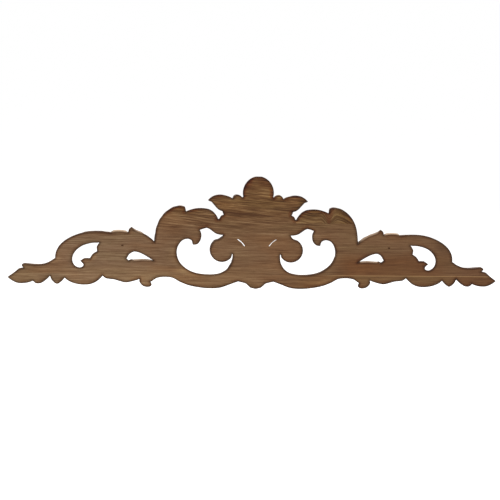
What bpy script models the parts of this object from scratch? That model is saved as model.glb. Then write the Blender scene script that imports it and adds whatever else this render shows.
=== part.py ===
"""A carved wooden applique: a wide crest of acanthus leaves and scrolls, flat behind and pierced.

Units are metres. X runs along the length, Z is up, and the flat back lies in the plane y = 0
with the carving towards -Y. The origin is on the back, on the centre line, at mid-height.
Edges and stems are drawn in millimetres as (x, z) on the right half, which is then mirrored.
"""

import math

import bmesh
import bpy
import numpy as np

MM = 0.001
HALF_LENGTH = 300.0
HALF_HEIGHT = 69.0

# The board and its carving, in millimetres in front of the back face
GROUND = 4.2
DEEPEST = 22.0
BEHIND = 3.0

# How far the uncut board runs past the outline
MARGIN = 6.0

# How far a drawn edge or a carved stem may turn, in degrees, and run between two of its points
EDGE_BEND, EDGE_STRIDE = 13.0, 7.0
STEM_BEND, STEM_STRIDE = 19.0, 12.0

# Details seen on the back. The slit is wide at the front and only just breaks through behind.
SLIT_WIDTH = 1.5
SLIT_WIDTH_IN_FRONT = 12.0
SLIT_LIP = 1.0
PIT_SIZE = (3.2, 1.6)
PIT_DEPTH = 2.5

WOOD = (0.181, 0.098, 0.048, 1.0)

# Facets that meet at less than this, in degrees, look like one rounded surface
CREASE = 38.0

# Cross-sections of the carving, across (in half-widths) and up (in full heights)
SCROLL = [(-1.0, 0.36), (-0.7, 0.96), (-0.36, 0.9), (0.0, 0.68), (0.36, 0.9), (0.7, 0.96), (1.0, 0.36)]
LEAF = [(-1.0, 0.34), (-0.56, 0.95), (0.0, 0.66), (0.56, 0.95), (1.0, 0.34)]
LOBE = [(-1.0, 0.32), (-0.5, 0.85), (0.1, 1.0), (1.0, 0.36)]
RIDGE = [(-1.0, 0.36), (-0.56, 0.84), (0.0, 1.0), (0.56, 0.84), (1.0, 0.36)]


def arc(centre, radii, start, end, steps=8):
    """Points along an ellipse's arc or, with a third and fourth radius, a spiral's; angles in degrees."""
    points = []
    first = np.array(radii[:2])
    last = np.array(radii[-2:])
    for k in range(steps + 1):
        angle = math.radians(start + (end - start) * k / steps)
        reach = first + (last - first) * k / steps
        points.append((centre[0] + reach[0] * math.cos(angle), centre[1] + reach[1] * math.sin(angle)))
    return points


def turn(one, other):
    """The angle between two directions, in degrees."""
    cosine = np.dot(one[:2], other[:2]) / (np.linalg.norm(one[:2]) * np.linalg.norm(other[:2]))
    return math.degrees(math.acos(np.clip(cosine, -1.0, 1.0)))


def smooth(points, bend, stride):
    """A smooth curve through the points, sampled closely where it bends, from the first to the last."""
    knots = np.array(points, dtype=float)
    if len(knots) < 3:
        return [tuple(p) for p in knots]
    knots = np.vstack([2 * knots[0] - knots[1], knots, 2 * knots[-1] - knots[-2]])
    chords = np.diff(knots, axis=0)
    spans = np.sqrt(np.linalg.norm(chords[:, :2], axis=1))
    slopes = chords / spans[:, None]
    curve = []
    for i in range(1, len(knots) - 2):
        before, span, after = spans[i - 1:i + 2]
        leave = (slopes[i] * before + slopes[i - 1] * span) / (before + span)
        arrive = (slopes[i + 1] * span + slopes[i] * after) / (span + after)
        turned = turn(leave, chords[i]) + turn(chords[i], arrive)
        count = max(1, round(turned / bend), round(span * span / stride))
        for t in np.arange(count) / count:
            curve.append(
                (2 * t**3 - 3 * t**2 + 1) * knots[i]
                + (t**3 - 2 * t**2 + t) * span * leave
                + (3 * t**2 - 2 * t**3) * knots[i + 1]
                + (t**3 - t**2) * span * arrive
            )
    curve.append(knots[-2])
    return [tuple(p) for p in curve]


PENDANT_TIP = (0.0, -68.9)

# The outer edge of the right half, from the top of the dome round to the tip of the pendant.
# Each stroke is smooth, and strokes meet at a corner.
OUTER_EDGE = {
    "dome": arc((0, 48.1), (18.5, 20.2), 90, -12),
    "crook": [(18.1, 43.9), (18.9, 42.6)],
    "bud": [(18.9, 42.6), (22.5, 44.9), (26.5, 45.5), (29.2, 43.9), (31.0, 41.2)],
    "crown leaf, top": [(31.0, 41.2), (36.5, 43.6), (44.0, 45.3), (51.5, 44.8), (57.0, 42.2), (60.8, 38.8)],
    "crown leaf, under": [(60.8, 38.8), (56.8, 37.3), (53.0, 33.1), (48.4, 28.3), (43.1, 25.7)],
    "neck": [(43.1, 25.7), (41.4, 21.2)],
    "nub": [(41.4, 21.2), (43.8, 20.2), (45.6, 17.8), (46.6, 15.8)],
    "cleft": [(46.6, 15.8), (48.2, 15.8)],
    "roll": [(48.2, 15.8), (50.1, 19.5), (53.8, 24.2), (60.5, 27.9), (70.0, 28.8), (78.0, 27.8),
             (87.6, 24.5)],
    "notch": [(87.6, 24.5), (89.2, 30.3)],
    "shoulder": [(89.2, 30.3), (93.0, 31.2), (101.0, 30.2), (110.0, 25.1), (118.2, 15.4), (122.6, 3.8),
                 (124.7, -12.6)],
    "side leaf": [(124.7, -12.6), (130.0, -8.2), (138.0, -3.2), (148.8, 1.2), (152.8, 4.9)],
    "side leaf, tip": [(152.8, 4.9), (155.4, 2.6), (156.8, -1.4)],
    "volute crest": [(156.8, -1.4), (161.0, -0.2), (167.5, 0.3), (174.0, -0.2), (177.5, -2.0)],
    "outer scroll": [(177.5, -2.0), (186.0, -1.1), (197.0, -0.9), (208.0, -2.0), (219.0, -5.1),
                     (230.1, -10.6), (238.6, -18.1), (242.8, -26.2), (244.0, -33.6)],
    "tail, top": [(244.0, -33.6), (249.0, -37.3), (257.0, -40.7), (266.5, -41.9), (280.6, -40.3)],
    "tail barb": [(280.6, -40.3), (283.4, -42.1), (281.4, -45.6)],
    "tail tip, top": [(281.4, -45.6), (287.0, -46.9), (293.2, -52.2), (HALF_LENGTH, -57.0)],
    "tail tip, under": [(HALF_LENGTH, -57.0), (294.0, -61.1), (288.0, -63.5), (278.5, -63.4), (270.0, -61.1)],
    "tail lobe": [(270.0, -61.1), (266.5, -63.7), (260.5, -63.4), (254.5, -59.4), (249.8, -55.0)],
    "husk lobe": [(249.8, -55.0), (247.3, -59.8), (241.3, -64.3), (236.2, -61.3), (232.2, -57.1)],
    "scroll belly": [(232.2, -57.1), (228.0, -60.1), (222.0, -62.9), (213.0, -64.8), (203.0, -64.6),
                     (194.5, -61.4), (186.6, -54.3)],
    "stem leaf": [(186.6, -54.3), (182.5, -57.0), (172.0, -58.5), (158.5, -61.9), (149.0, -60.0),
                  (141.4, -57.6)],
    "curl": [(141.4, -57.6), (141.6, -61.0), (138.5, -65.2), (134.0, -67.1), (129.0, -66.7), (127.3, -64.6),
             (128.4, -61.2)],
    "arch": [(128.4, -61.2), (121.5, -56.4), (111.0, -54.8), (102.0, -55.8), (93.5, -60.3), (82.0, -64.8),
             (68.0, -67.5), (55.0, -68.4), (43.0, -67.4), (31.5, -63.3), (21.8, -59.7)],
    "pendant": [(21.8, -59.7), (12.0, -62.3), (6.5, -67.2), PENDANT_TIP],
}

# The hole inside the C-scroll, which runs round the inner volute and the hooked end of the scroll.
# A saw kerf runs up from it between the volute and the centre.
C_HOLE = {
    "volute": arc((42.4, -21.7), (14.3, 14.2), 219, 413, 15),
    "volute root": [(51.0, -10.35), (46.7, -8.8), (43.0, -6.4), (41.3, -3.2)],
    "under the roll": [(41.3, -3.2), (50.0, -1.4), (56.3, 2.8), (61.8, 5.6), (70.1, 2.8)],
    "hook, outside": [(70.1, 2.8), (68.5, -2.5), (69.4, -9.6), (73.2, -14.4), (77.9, -15.1)],
    "hook, inside": [(77.9, -15.1), (79.3, -10.4), (84.8, -8.0), (91.5, -10.2), (96.4, -17.0), (97.9, -25.0),
                     (94.7, -35.6), (87.3, -43.7), (76.0, -49.7), (60.0, -52.1), (45.0, -50.8), (35.0, -45.0),
                     (29.7, -36.4), (28.8, -31.0)],
    "kerf": [(28.8, -31.0), (28.8, -27.6), (29.6, -26.2), (30.5, -27.6), (31.3, -30.6)],
}

# The hole under the side leaf
LEAF_HOLE = {
    "top": [(125.2, -35.5), (131.5, -31.3), (139.0, -27.0), (149.0, -24.2), (155.6, -28.0), (158.2, -33.1)],
    "end": [(158.2, -33.1), (155.2, -36.0)],
    "bottom": [(155.2, -36.0), (152.2, -34.4), (149.5, -35.1), (138.0, -34.5), (125.2, -35.5)],
}

# The hole in the eye of the outer scroll, with the lobes of a leaf reaching into it
EYE_HOLE = {
    "inside of the scroll": [(190.9, -13.9), (200.0, -14.2), (210.0, -16.9), (218.6, -22.7), (223.3, -30.5),
                             (223.2, -37.6), (219.6, -43.1), (214.2, -45.1), (210.0, -43.2), (209.6, -40.4),
                             (213.4, -36.7)],
    "lower lobe": [(213.4, -36.7), (208.7, -33.6), (202.2, -33.5)],
    "middle lobe": [(202.2, -33.5), (198.4, -28.5), (193.7, -24.8)],
    "upper lobe": [(193.7, -24.8), (194.0, -19.6), (190.9, -13.9)],
}

SLIT = [(24.7, -7.7), (23.4, -8.4), (18.9, -11.7), (15.2, -16.1), (14.5, -17.4)]
PIT = (163.7, -17.0)

INNER_VOLUTE = (42.4, -21.4)
OUTER_VOLUTE = (164.2, -16.9)


def widened(points, first, last):
    """The points with a half-width that changes evenly from the first to the last."""
    widths = np.linspace(first, last, len(points))
    return [(x, z, width) for (x, z), width in zip(points, widths)]


# Carved stems and leaves: the section, its height as a share of the half-width, and a centre line
# of (x, z, half-width) from root to tip
STEMS = {
    "c scroll": (SCROLL, 1.16, [
        (15, -43, 3.6), (23, -51.5, 6.6), (34, -57.4, 8.2), (47, -60.2, 8.6), (62, -60.3, 8.2),
        (77.5, -57.8, 8.2), (91.2, -51.4, 8.3), (101.2, -42, 8.6), (106.2, -28, 8.8), (105.4, -14, 9.6),
        (101, -1, 9.5), (91.5, 5.0, 8.6),
        (81, 1.8, 7.4), (74.6, -5.5, 6.4), (75, -12.5, 5.2)]),
    "shoulder leaf": (LEAF, 1.26, [
        (101, -56, 1.6), (110, -47, 4.6), (116.5, -36, 7.0), (119, -22, 7.6), (118, -7, 8.2), (113.5, 6, 9.2),
        (105, 17.5, 9.8), (94, 24.5, 8.4), (85, 26.5, 4.5)]),
    "roll leaf": (LEAF, 1.06, [
        (5, -21, 2.2), (11, -12, 4.6), (19, -4.5, 6.2), (31, 2.5, 7.2), (44, 6.2, 8.6), (56, 11.6, 10.6),
        (68, 15.6, 12.4), (80, 16.2, 11.0), (91, 12.5, 6.0)]),
    "roll lip": (RIDGE, 1.5, [
        (89, 20, 2.0), (78, 24.2, 4.2), (67, 25, 4.6), (57, 21, 4.6), (50, 15, 3.4)]),
    "arm": (SCROLL, 1.5, [
        (3, -37, 2.0), (12, -26, 4.6), (22.0, -16.2, 5.8), (31, -11.4, 6.2),
        *widened(arc(INNER_VOLUTE, (10.4, 10.4, 9.4, 9.4), 96, -222, 10), 6.2, 3.2)]),
    "nub leaf": (LEAF, 1.42, [
        (2, -15, 2.0), (9, -3.5, 4.9), (20, 6.8, 6.1), (32, 14, 6.4), (40, 17, 5.4), (46.5, 17.2, 2.0)]),
    "crown leaf": (LEAF, 1.22, [
        (2, -6, 2.0), (9, 9, 5.4), (20, 21.5, 7.6), (32, 31, 9.2), (43, 36.4, 9.4), (52.5, 39.4, 6.0),
        (59, 39.4, 2.2)]),
    "bud stalk": (RIDGE, 1.5, [(1.5, 6, 2.0), (8, 20, 4.4), (16, 31, 5.6), (25, 39.5, 7.2), (28, 43.5, 5.8)]),
    "centre stalk": (RIDGE, 1.75, [(0, -24, 4.2), (0, -8, 5.4), (0, 10, 5.8), (0, 24, 6.0), (0, 36, 6.0)]),
    "collar": (RIDGE, 3.0, [(-7, 31.2, 4.2), (0, 30.4, 4.4), (7, 31.2, 4.2), (12.4, 34.4, 3.2)]),
    "pendant leaf": (RIDGE, 1.5, [(0, -28, 4.0), (0, -40, 7.0), (0, -52, 7.8), (0, -62, 5.8), (0, -69, 2.4)]),
    "pendant side leaf": (LEAF, 1.3, [
        (3, -33, 2.4), (9, -42, 6.0), (13.5, -52, 7.4), (14.2, -60, 5.6), (13, -66, 2.0)]),
    "pendant upper leaf": (LEAF, 1.22, [
        (5, -32, 2.4), (14, -34.2, 6.0), (22.5, -36.5, 7.8), (28.4, -44, 6.8), (30, -54, 3.6)]),
    "side leaf": (LEAF, 1.2, [
        (107, -34, 1.6), (117, -24.5, 4.4), (127, -16.4, 8.0), (138, -10.4, 8.2), (147, -4.4, 6.8),
        (152, 0.5, 4.4), (154.2, 4.6, 1.8)]),
    "side leaf, lower lobe": (LEAF, 1.2, [
        (112, -36, 2.0), (122, -30, 5.2), (133, -24, 6.6), (143, -20.2, 6.2), (150, -19.2, 3.2)]),
    "outer scroll": (SCROLL, 1.18, [
        *widened(arc(OUTER_VOLUTE, (9.6, 9.6, 12.4, 11.2), 432, 105, 10), 3.4, 6.6),
        (176, -7.0, 6.8), (188, -7.5, 6.8), (200, -7.6, 6.8), (212.4, -10.4, 7.2), (224.4, -17.2, 8.2),
        (232.4, -27.8, 9.3), (233.4, -39, 9.9), (226.6, -49.9, 9.4), (214.5, -55.2, 9.8), (203, -54.6, 9.2),
        (190, -48.8, 7.8), (176, -44.2, 7.6), (160, -42.4, 7.4), (144, -42.6, 7.6), (128, -43.6, 7.0),
        (114, -44, 3.0)]),
    "eye leaf, upper lobe": (LOBE, 1.75, [
        (165, -35, 2.0), (176, -29.5, 5.2), (187, -22.5, 5.8), (194, -17, 2.6)]),
    "eye leaf, middle lobe": (LOBE, 1.7, [
        (166, -38, 2.0), (179, -34.5, 5.4), (191, -30.4, 5.8), (202, -30, 2.4)]),
    "eye leaf, lower lobe": (LOBE, 1.65, [
        (172, -43, 2.0), (187, -40.5, 5.8), (200, -38.4, 6.2), (213, -37.6, 2.0)]),
    "tail": (LEAF, 1.12, [
        (229, -38, 4.0), (242, -45.5, 9.0), (256, -50.2, 10.2), (269, -52.4, 10.4), (281, -54.2, 9.4),
        (291, -56.6, 6.0), (300, -57.2, 1.6)]),
    "tail barb": (LOBE, 2.15, [(250, -46.5, 2.4), (262, -44.4, 4.6), (274, -42.4, 4.4), (284, -41.6, 1.8)]),
    "tail lobe": (LOBE, 1.9, [(243, -49, 2.0), (252, -54.6, 5.0), (260.5, -60, 4.8), (268, -63, 2.4)]),
    "husk": (LEAF, 1.65, [(234, -43, 2.4), (238.4, -52, 5.4), (241.2, -60, 5.0), (241.6, -65, 1.8)]),
    "stem leaf": (LEAF, 1.4, [
        (196, -52, 1.6), (184, -52.8, 4.0), (171, -54.4, 5.4), (158, -56.4, 6.2), (146, -55, 5.4),
        (134, -51, 2.4)]),
    "curl": (RIDGE, 1.6, [
        (97, -52, 1.6), (109, -49.6, 4.4), (120, -50.6, 5.0), (129.5, -54.2, 5.2), (135.4, -59.6, 5.0),
        (133.4, -64.2, 4.0), (129.4, -63.6, 3.0)]),
}

# The raised rim around the dome, from beyond the centre line down to the collar
DOME_RIM_RISE = 2.4
DOME_RIM = widened(arc((0, 48.1), (14.9, 16.6), 112, -70, 13), 4.0, 4.0)

# Rounded knobs of the carving: centre, radii and height, in millimetres
KNOBS = {
    "dome": ((0, 48.1), (12.4, 15.2), 15.0),
    "knot": ((0, -29.5), (7.4, 8.6), 15.5),
    "inner volute eye": (INNER_VOLUTE, (6.2, 6.2), 14.5),
    "outer volute eye": (OUTER_VOLUTE, (6.6, 6.6), 15.5),
}


def trace(strokes):
    """One closed loop of points through all strokes."""
    loop = []
    for points in strokes.values():
        loop += smooth(points, EDGE_BEND, EDGE_STRIDE)[:-1]
    return loop


def ribbon(points, width):
    """A closed loop around a line that keeps this width and ends in points."""
    line = [np.array(p[:2]) for p in smooth(points, EDGE_BEND, EDGE_STRIDE)]
    sides = ([], [])
    for before, here, after in zip(line, line[1:], line[2:]):
        along = (after - before) / np.linalg.norm(after - before)
        across = np.array([-along[1], along[0]]) * width / 2
        sides[0].append(tuple(here + across))
        sides[1].append(tuple(here - across))
    return [tuple(line[0]), *sides[0], tuple(line[-1]), *reversed(sides[1])]


def drawn_curve(name, splines, closed=True):
    """A curve in the drawing's own plane, turned up so that its Z comes out at the front."""
    curve = bpy.data.curves.new(name, "CURVE")
    curve.dimensions = "2D" if closed else "3D"
    for points in splines:
        spline = curve.splines.new("POLY")
        spline.points.add(len(points) - 1)
        spline.use_cyclic_u = closed
        for point, (x, z, *radius) in zip(spline.points, points):
            point.co = (x * MM, z * MM, 0.0, 1.0)
            point.radius = radius[0] * MM if radius else 1.0
    drawn = bpy.data.objects.new(name, curve)
    drawn.rotation_euler = (math.radians(90), 0, 0)
    bpy.context.scene.collection.objects.link(drawn)
    return drawn


def round_off(mesh):
    """Smooth shading, with the steeper edges kept sharp."""
    mesh.shade_smooth()
    mesh.set_sharp_from_angle(angle=math.radians(CREASE))


def to_mesh(drawn, collection):
    """The curve object as a closed mesh object in a collection of cutters."""
    bpy.context.view_layer.update()
    evaluated = drawn.evaluated_get(bpy.context.evaluated_depsgraph_get())
    mesh = bpy.data.meshes.new_from_object(evaluated)
    bm = bmesh.new()
    bm.from_mesh(mesh)
    bmesh.ops.remove_doubles(bm, verts=bm.verts, dist=0.00001)
    bmesh.ops.recalc_face_normals(bm, faces=bm.faces)
    bm.to_mesh(mesh)
    bm.free()
    round_off(mesh)
    name = drawn.name
    place = drawn.matrix_world.copy()
    bpy.data.objects.remove(drawn)
    solid = bpy.data.objects.new(name, mesh)
    solid.matrix_world = place
    return hide(solid, collection)


def hide(solid, collection):
    """Put a helper solid in its collection, as a wire that isn't rendered."""
    for other in solid.users_collection:
        other.objects.unlink(solid)
    collection.objects.link(solid)
    solid.hide_render = True
    solid.display_type = "WIRE"
    return solid


def board(name, loops, depth, collection):
    """A flat solid of the loops' outline, from behind the back face or at it, up to a depth in front."""
    near, far = depth
    drawn = drawn_curve(name, loops)
    drawn.data.fill_mode = "BOTH"
    drawn.data.extrude = (far - near) / 2 * MM
    drawn.location.y = -(far + near) / 2 * MM
    return to_mesh(drawn, collection)


def wedge(name, loops, depths, collection):
    """A closed solid through loops of as many points, each at its own depth in front of the back."""
    mesh = bpy.data.meshes.new(name)
    solid = bpy.data.objects.new(name, mesh)
    bm = bmesh.new()
    rings = []
    for loop, depth in zip(loops, depths):
        rings.append([bm.verts.new((x * MM, -depth * MM, z * MM)) for x, z in loop])
    for ring, further in zip(rings, rings[1:]):
        for k in range(len(ring)):
            bm.faces.new((ring[k - 1], ring[k], further[k], further[k - 1]))
    bm.faces.new(rings[0])
    bm.faces.new(rings[-1])
    bmesh.ops.triangulate(bm, faces=bm.faces)
    bmesh.ops.recalc_face_normals(bm, faces=bm.faces)
    bm.to_mesh(mesh)
    bm.free()
    return hide(solid, collection)


def stem(name, section, rise, line, collection):
    """A carved band or leaf: the section drawn along its centre line, as wide as the line says."""
    behind = -1.0
    outline = [(across, up * rise) for across, up in section] + [(1.0, behind), (-1.0, behind)]
    profile_curve = bpy.data.curves.new(name + " section", "CURVE")
    profile_curve.dimensions = "2D"
    spline = profile_curve.splines.new("POLY")
    spline.points.add(len(outline) - 1)
    spline.use_cyclic_u = True
    for point, (across, up) in zip(spline.points, outline):
        point.co = (across, up, 0.0, 1.0)
    profile = bpy.data.objects.new(profile_curve.name, profile_curve)
    bpy.context.scene.collection.objects.link(profile)
    drawn = drawn_curve(name, [smooth(line, STEM_BEND, STEM_STRIDE)], closed=False)
    drawn.data.twist_mode = "Z_UP"
    drawn.data.bevel_mode = "OBJECT"
    drawn.data.bevel_object = profile
    drawn.data.use_fill_caps = True
    solid = to_mesh(drawn, collection)
    bpy.data.objects.remove(profile)
    return solid


def knob(name, centre, radii, height, collection):
    """A rounded boss, half of it in front of the back face."""
    bpy.ops.mesh.primitive_uv_sphere_add(segments=14, ring_count=8, radius=1.0)
    boss = bpy.context.object
    boss.name = name
    boss.rotation_euler = (math.radians(90), 0, 0)
    boss.scale = (radii[0] * MM, radii[1] * MM, height * MM)
    boss.location = (centre[0] * MM, 0.0, centre[1] * MM)
    bpy.ops.object.transform_apply(rotation=True, scale=True)
    round_off(boss.data)
    return hide(boss, collection)


def boolean(target, operation, operand):
    """Join, cut or trim the target by an object or by every object of a collection."""
    modifier = target.modifiers.new(operation.title(), "BOOLEAN")
    modifier.operation = operation
    modifier.solver = "EXACT"
    if isinstance(operand, bpy.types.Collection):
        modifier.operand_type = "COLLECTION"
        modifier.collection = operand
    else:
        modifier.object = operand
    return modifier


def wood():
    """Sanded brown hardwood."""
    material = bpy.data.materials.new("carved wood")
    material.use_nodes = True
    shader = material.node_tree.nodes["Principled BSDF"]
    shader.inputs["Base Color"].default_value = WOOD
    shader.inputs["Roughness"].default_value = 0.6
    shader.inputs["Metallic"].default_value = 0.0
    return material


def new_collection(name):
    collection = bpy.data.collections.new(name)
    bpy.context.scene.collection.children.link(collection)
    return collection


def main():
    for old in list(bpy.data.objects):
        bpy.data.objects.remove(old)
    parts = new_collection("decorative floral applique")
    carving = new_collection("carving")
    cutters = new_collection("cutters")

    # Everything that stands up in front of the ground, before it is trimmed to the outline
    for name, (section, rise, line) in STEMS.items():
        stem(name, section, rise, line, carving)
    stem("dome rim", RIDGE, DOME_RIM_RISE, DOME_RIM, carving)
    for name, (centre, radii, height) in KNOBS.items():
        knob(name, centre, radii, height, carving)

    # The ground runs past the outline on every side, then takes the carving and is sawn out
    left, right = -MARGIN, HALF_LENGTH + MARGIN
    low, high = -HALF_HEIGHT - MARGIN, HALF_HEIGHT + MARGIN
    sheet = [(left, low), (right, low), (right, high), (left, high)]
    applique = board("carved_applique", [sheet], (-BEHIND, GROUND), parts)
    applique.hide_render = False
    applique.display_type = "TEXTURED"
    boolean(applique, "UNION", carving)

    edge = trace(OUTER_EDGE)
    beyond_centre = [PENDANT_TIP, (left, PENDANT_TIP[1]), (left, edge[0][1])]
    loops = [edge + beyond_centre, trace(C_HOLE), trace(LEAF_HOLE), trace(EYE_HOLE)]
    boolean(applique, "INTERSECT", board("outline", loops, (0.0, DEEPEST), cutters))

    # A narrow slit between the leaves goes right through, and a pit marks the outer volute's centre
    narrow, wide = ribbon(SLIT, SLIT_WIDTH), ribbon(SLIT, SLIT_WIDTH_IN_FRONT)
    depths = (-BEHIND, SLIT_LIP, DEEPEST)
    boolean(applique, "DIFFERENCE", wedge("slit", [narrow, narrow, wide], depths, cutters))
    pit = [(x, z) for x, z in arc(PIT, (PIT_SIZE[0] / 2, PIT_SIZE[1] / 2), 0, 324, 9)]
    boolean(applique, "DIFFERENCE", board("pit", [pit], (-BEHIND, PIT_DEPTH), cutters))

    mirror = applique.modifiers.new("Mirror", "MIRROR")
    mirror.use_bisect_axis[0] = True
    mirror.merge_threshold = 0.00005

    applique.data.materials.append(wood())


main()
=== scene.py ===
"""Looks of the carved wooden applique: one finely carved mesh in place of its faceted solid.

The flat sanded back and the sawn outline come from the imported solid. The front is carved along the
same centre lines as the solid, with the veins, flutes and tool marks that its facets leave out.
Drawn lines are in millimetres as (x, z, half-width) on the right half; the mesh is in metres.
"""

import math

import bmesh
import bpy
import numpy as np
from mathutils import Matrix, Vector, geometry, kdtree


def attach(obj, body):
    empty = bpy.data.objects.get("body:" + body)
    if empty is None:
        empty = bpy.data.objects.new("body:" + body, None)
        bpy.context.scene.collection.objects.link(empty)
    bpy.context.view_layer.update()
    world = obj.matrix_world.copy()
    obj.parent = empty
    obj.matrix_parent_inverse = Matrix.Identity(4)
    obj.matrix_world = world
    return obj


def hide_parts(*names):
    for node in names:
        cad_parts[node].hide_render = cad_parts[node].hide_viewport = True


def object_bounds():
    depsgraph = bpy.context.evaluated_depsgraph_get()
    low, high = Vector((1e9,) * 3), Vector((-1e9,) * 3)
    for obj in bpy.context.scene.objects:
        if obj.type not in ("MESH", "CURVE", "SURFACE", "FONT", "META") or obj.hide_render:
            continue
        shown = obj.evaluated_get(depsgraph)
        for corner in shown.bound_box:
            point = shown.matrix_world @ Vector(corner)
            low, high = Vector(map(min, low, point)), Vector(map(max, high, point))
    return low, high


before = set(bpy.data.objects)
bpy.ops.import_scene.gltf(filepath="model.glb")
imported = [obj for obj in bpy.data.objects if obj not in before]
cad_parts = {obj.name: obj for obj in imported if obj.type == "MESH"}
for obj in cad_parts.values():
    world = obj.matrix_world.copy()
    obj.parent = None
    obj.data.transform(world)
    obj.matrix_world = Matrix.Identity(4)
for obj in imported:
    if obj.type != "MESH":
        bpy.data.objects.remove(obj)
cad_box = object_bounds()

MM = 0.001
NODE = "carved_applique"

# Fineness of the mesh, in millimetres
EDGE_STEP = 1.0
FRONT_STEP = 0.62
BACK_STEP = 3.4
LINE_STEP = 1.2
FRONT_TRIANGLES = 118_000

# How far the ground between the stems and the highest knobs stand in front of the back face, in
# millimetres
GROUND = 4.2
HIGHEST = 15.4

# The blind pits in the back: their depth, how dark they are painted, partly as the shade deep in each hole,
# and the area that no other hole is under
PIT_DEPTH = 1.2
PIT_TONE = 0.5
PIT_AREA = 8.0

# The slits between the leaves: the area that no larger hole is under, how much narrower they are
# drawn behind than in the solid, and how much wider they are in front than behind, both all round
SLIT_AREA = 60.0
SLIT_TRIM = 0.32
SLIT_FLARE = 1.2

# The photograph's camera: where it stands from the object and what it looks at
VIEW_AZIMUTH = 8.5
VIEW_ELEVATION = 8.25
VIEW_ROLL = 1.8
VIEW_DISTANCE = 2.675
VIEW_TARGET = Vector((0.00833, 0.0, -0.02109))
SENSOR = 36.0
LENS = 158.73

# Cross-sections of the carving, across (in half-widths) and up (in full heights)
SECTIONS = {
    "scroll": [(-1.0, 0.36), (-0.94, 0.62), (-0.84, 0.88), (-0.7, 0.97), (-0.57, 0.93), (-0.49, 0.8),
               (-0.42, 0.85), (-0.28, 0.76), (0.0, 0.66), (0.28, 0.76), (0.42, 0.85), (0.49, 0.8),
               (0.57, 0.93), (0.7, 0.97), (0.84, 0.88), (0.94, 0.62), (1.0, 0.36)],
    "leaf": [(-1.0, 0.34), (-0.8, 0.72), (-0.56, 0.93), (-0.3, 0.9), (-0.13, 0.76), (0.0, 0.58),
             (0.13, 0.76), (0.3, 0.9), (0.56, 0.93), (0.8, 0.72), (1.0, 0.34)],
    "lobe": [(-1.0, 0.32), (-0.75, 0.62), (-0.5, 0.82), (-0.2, 0.88), (0.1, 1.0), (0.32, 0.9),
             (0.6, 0.78), (1.0, 0.36)],
    "ridge": [(-1.0, 0.36), (-0.8, 0.64), (-0.56, 0.84), (-0.25, 0.96), (0.0, 1.0), (0.25, 0.96),
              (0.56, 0.84), (0.8, 0.64), (1.0, 0.36)],
}


def arc(centre, radii, start, end, steps):
    """Points along an ellipse's arc or, with four radii, a spiral's; the angles are in degrees."""
    angles = np.radians(np.linspace(start, end, steps + 1))
    reach = np.linspace(radii[:2], radii[-2:], steps + 1)
    return [(centre[0] + a * math.cos(t), centre[1] + b * math.sin(t)) for (a, b), t in zip(reach, angles)]


def widened(points, first, last):
    """The points with a half-width that changes evenly from the first to the last."""
    return [(x, z, width) for (x, z), width in zip(points, np.linspace(first, last, len(points)))]


INNER_VOLUTE = (42.4, -21.4)
OUTER_VOLUTE = (164.2, -16.9)

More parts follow.
